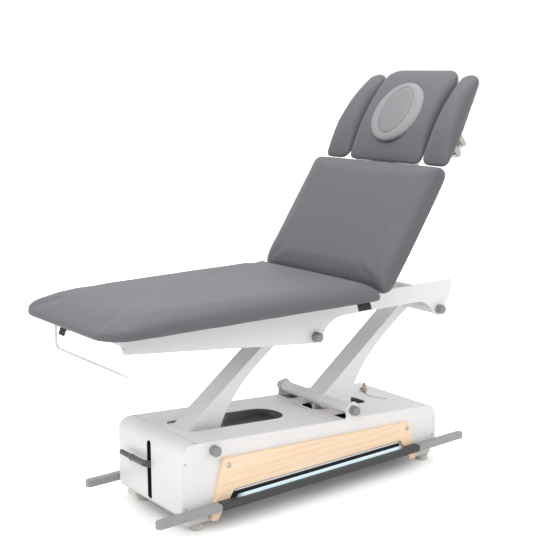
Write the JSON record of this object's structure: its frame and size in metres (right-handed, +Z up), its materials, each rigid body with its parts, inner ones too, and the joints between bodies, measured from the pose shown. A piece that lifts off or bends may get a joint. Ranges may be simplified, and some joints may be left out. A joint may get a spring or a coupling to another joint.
{
  "type": "electric massage table",
  "caption": "Electric massage table with a lifting base on parallel arms, padded leg section, reclining backrest, head section with face plug and drop-down armrests.",
  "frame": {"origin": "on the floor below the middle of the overall box", "axes": "+X from the foot end towards the head end, +Y to the left side, +Z up"},
  "size_m": [1.5511, 0.6494, 1.437],
  "materials": {
    "white_coat": "satin powder coat",
    "upholstery": "soft matt artificial leather over foam",
    "wood": "light satin lacquer",
    "grey_plastic": "satin",
    "dark_bar": "dark grey satin",
    "light_strip": "frosted diffuser, lit",
    "rubber": "black matt",
    "wheel": "matt",
    "foot_plastic": "matt",
    "steel": "satin",
    "beige_plastic": "satin",
    "plug_plastic": "soft satin",
    "board": "ply painted light grey"
  },
  "bodies": {
    "base": {"base_side_left": "white_coat", "base_side_right": "white_coat", "base_top_cover": "white_coat", "foot_end_cover": "white_coat", "head_end_cover": "white_coat", "cross_member_foot": "white_coat", "cross_member_head": "white_coat", "cross_member_lift": "white_coat", "wood_panel_left": "wood", "wood_panel_right": "wood", "control_box": "rubber", "mains_inlet": "rubber", "key_lanyard": "beige_plastic", "lift_actuator_body": "rubber", "pivot_shaft_foot_lower": "grey_plastic", "pivot_shaft_head_lower": "grey_plastic"},
    "foot_arm": {"foot_arm": "white_coat"},
    "head_arm": {"head_arm": "white_coat"},
    "upper_frame": {"frame_plate_left": "white_coat", "frame_plate_right": "white_coat", "frame_cross_front": "white_coat", "frame_cross_rear": "white_coat", "leg_board": "board", "leg_pad": "upholstery", "roll_holder": "white_coat", "back_actuator_body": "rubber", "pivot_shaft_foot_upper": "grey_plastic", "pivot_shaft_head_upper": "grey_plastic"},
    "lift_rod": {"lift_actuator_rod": "steel"},
    "backrest": {"backrest_pad": "upholstery", "back_frame": "white_coat"},
    "back_rod": {"back_actuator_rod": "steel"},
    "head": {"head_pad": "upholstery", "head_frame": "white_coat"},
    "plug": {"face_plug": "plug_plastic"},
    "key": {"safety_key": "beige_plastic"},
    "castor_foot": {"castor_frame_foot": "steel", "castor_lever": "rubber"},
    "castor_head": {"castor_frame_head": "steel"},
    "castor_tie": {"castor_tie_rod": "steel"},
    "wheels_foot": {"castor_wheels_foot": "wheel"},
    "wheels_head": {"castor_wheels_head": "wheel"},
    "control_bar_left": {"control_bar_left": "dark_bar", "bar_end_foot_left": "grey_plastic", "bar_end_head_left": "grey_plastic", "light_strip_left": "light_strip"},
    "armrest_link_lower_left": {"armrest_link_lower_left": "beige_plastic"},
    "armrest_link_upper_left": {"armrest_link_upper_left": "beige_plastic"},
    "armrest_left": {"armrest_pad_left": "upholstery"},
    "levelling_foot_foot_left": {"levelling_foot_foot_left": "foot_plastic"},
    "levelling_foot_head_left": {"levelling_foot_head_left": "foot_plastic"},
    "control_bar_right": {"control_bar_right": "dark_bar", "bar_end_foot_right": "grey_plastic", "bar_end_head_right": "grey_plastic", "light_strip_right": "light_strip"},
    "armrest_link_lower_right": {"armrest_link_lower_right": "beige_plastic"},
    "armrest_link_upper_right": {"armrest_link_upper_right": "beige_plastic"},
    "armrest_right": {"armrest_pad_right": "upholstery"},
    "levelling_foot_foot_right": {"levelling_foot_foot_right": "foot_plastic"},
    "levelling_foot_head_right": {"levelling_foot_head_right": "foot_plastic"}
  },
  "joints": [
    {"name": "lift", "type": "hinge", "parent": "base", "child": "foot_arm", "pos_m": [-0.3528, 0, 0.2611], "axis": [0, -1, 0], "range_deg": [-33, 40]},
    {"name": "head_arm_swing", "type": "hinge", "parent": "base", "child": "head_arm", "pos_m": [0.2402, 0, 0.2746], "axis": [0, -1, 0], "range_deg": [-33, 40]},
    {"name": "frame_level", "type": "hinge", "parent": "foot_arm", "child": "upper_frame", "pos_m": [0.066, 0, 0.56594], "axis": [0, -1, 0], "range_deg": [-40, 33]},
    {"name": "lift_rod_travel", "type": "slide", "parent": "base", "child": "lift_rod", "axis": [1, 0, 0], "range_m": [-0.047, 0.057]},
    {"name": "back_recline", "type": "hinge", "parent": "upper_frame", "child": "backrest", "pos_m": [0.2669, 0, 0.68794], "axis": [0, -1, 0], "range_deg": [-55.8, 0]},
    {"name": "back_rod_travel", "type": "slide", "parent": "upper_frame", "child": "back_rod", "axis": [1, 0, 0], "range_m": [-0.058, 0.001]},
    {"name": "head_tilt", "type": "hinge", "parent": "backrest", "child": "head", "pos_m": [0.55722, 0, 1.09699], "axis": [0, -1, 0], "range_deg": [-50, 15]},
    {"name": "plug_pull", "type": "slide", "parent": "head", "child": "plug", "axis": [-0.8271, 0, 0.5621], "range_m": [0, 0.08]},
    {"name": "key_turn", "type": "hinge", "parent": "base", "child": "key", "pos_m": [0.5416, 0.076, 0.22157], "axis": [0.0754, 0, 0.9972], "range_deg": [0, 90]},
    {"name": "castor_lever", "type": "hinge", "parent": "base", "child": "castor_foot", "pos_m": [-0.2244, 0, 0.09], "axis": [0, -1, 0], "range_deg": [0, 22]},
    {"name": "castor_head_swing", "type": "hinge", "parent": "base", "child": "castor_head", "pos_m": [0.5556, 0, 0.09], "axis": [0, -1, 0], "range_deg": [0, 22]},
    {"name": "castor_tie_travel", "type": "slide", "parent": "base", "child": "castor_tie", "axis": [1, 0, 0], "range_m": [-0.016, 0]},
    {"name": "castor_roll_foot", "type": "hinge", "parent": "castor_foot", "child": "wheels_foot", "pos_m": [-0.2894, 0, 0.043], "axis": [0, 1, 0], "continuous": true},
    {"name": "castor_roll_head", "type": "hinge", "parent": "castor_head", "child": "wheels_head", "pos_m": [0.4906, 0, 0.043], "axis": [0, 1, 0], "continuous": true},
    {"name": "control_bar_press_left", "type": "hinge", "parent": "base", "child": "control_bar_left", "pos_m": [0.0936, 0.163, 0.083], "axis": [1, 0, 0], "range_deg": [-4, 4], "stiffness_Nm_per_rad": 150},
    {"name": "armrest_drop_left", "type": "hinge", "parent": "head", "child": "armrest_link_lower_left", "pos_m": [0.66641, 0.262, 1.14913], "axis": [0, -1, 0], "range_deg": [-45, 0]},
    {"name": "armrest_link_swing_left", "type": "hinge", "parent": "head", "child": "armrest_link_upper_left", "pos_m": [0.69058, 0.262, 1.18469], "axis": [0, -1, 0], "range_deg": [-45, 0]},
    {"name": "armrest_level_left", "type": "hinge", "parent": "armrest_link_lower_left", "child": "armrest_left", "pos_m": [0.62603, 0.262, 1.19351], "axis": [0, -1, 0], "range_deg": [0, 45]},
    {"name": "foot_screw_foot_left", "type": "slide", "parent": "base", "child": "levelling_foot_foot_left", "axis": [0, 0, -1], "range_m": [0, 0.015]},
    {"name": "foot_screw_head_left", "type": "slide", "parent": "base", "child": "levelling_foot_head_left", "axis": [0, 0, -1], "range_m": [0, 0.015]},
    {"name": "control_bar_press_right", "type": "hinge", "parent": "base", "child": "control_bar_right", "pos_m": [0.0936, -0.163, 0.083], "axis": [1, 0, 0], "range_deg": [-4, 4], "stiffness_Nm_per_rad": 150},
    {"name": "armrest_drop_right", "type": "hinge", "parent": "head", "child": "armrest_link_lower_right", "pos_m": [0.66641, -0.262, 1.14913], "axis": [0, -1, 0], "range_deg": [-45, 0]},
    {"name": "armrest_link_swing_right", "type": "hinge", "parent": "head", "child": "armrest_link_upper_right", "pos_m": [0.69058, -0.262, 1.18469], "axis": [0, -1, 0], "range_deg": [-45, 0]},
    {"name": "armrest_level_right", "type": "hinge", "parent": "armrest_link_lower_right", "child": "armrest_right", "pos_m": [0.62603, -0.262, 1.19351], "axis": [0, -1, 0], "range_deg": [0, 45]},
    {"name": "foot_screw_foot_right", "type": "slide", "parent": "base", "child": "levelling_foot_foot_right", "axis": [0, 0, -1], "range_m": [0, 0.015]},
    {"name": "foot_screw_head_right", "type": "slide", "parent": "base", "child": "levelling_foot_head_right", "axis": [0, 0, -1], "range_m": [0, 0.015]}
  ],
  "couplings": [
    {"joint": "head_arm_swing", "follows": "lift", "ratio": 1},
    {"joint": "frame_level", "follows": "lift", "ratio": -1},
    {"joint": "lift_rod_travel", "follows": "lift", "m_per_rad": 0.0794},
    {"joint": "back_rod_travel", "follows": "back_recline", "m_per_rad": 0.0577},
    {"joint": "castor_head_swing", "follows": "castor_lever", "ratio": 1},
    {"joint": "castor_tie_travel", "follows": "castor_lever", "m_per_rad": -0.04},
    {"joint": "armrest_link_swing_left", "follows": "armrest_drop_left", "ratio": 1},
    {"joint": "armrest_level_left", "follows": "armrest_drop_left", "ratio": -1},
    {"joint": "armrest_link_swing_right", "follows": "armrest_drop_right", "ratio": 1},
    {"joint": "armrest_level_right", "follows": "armrest_drop_right", "ratio": -1}
  ]
}
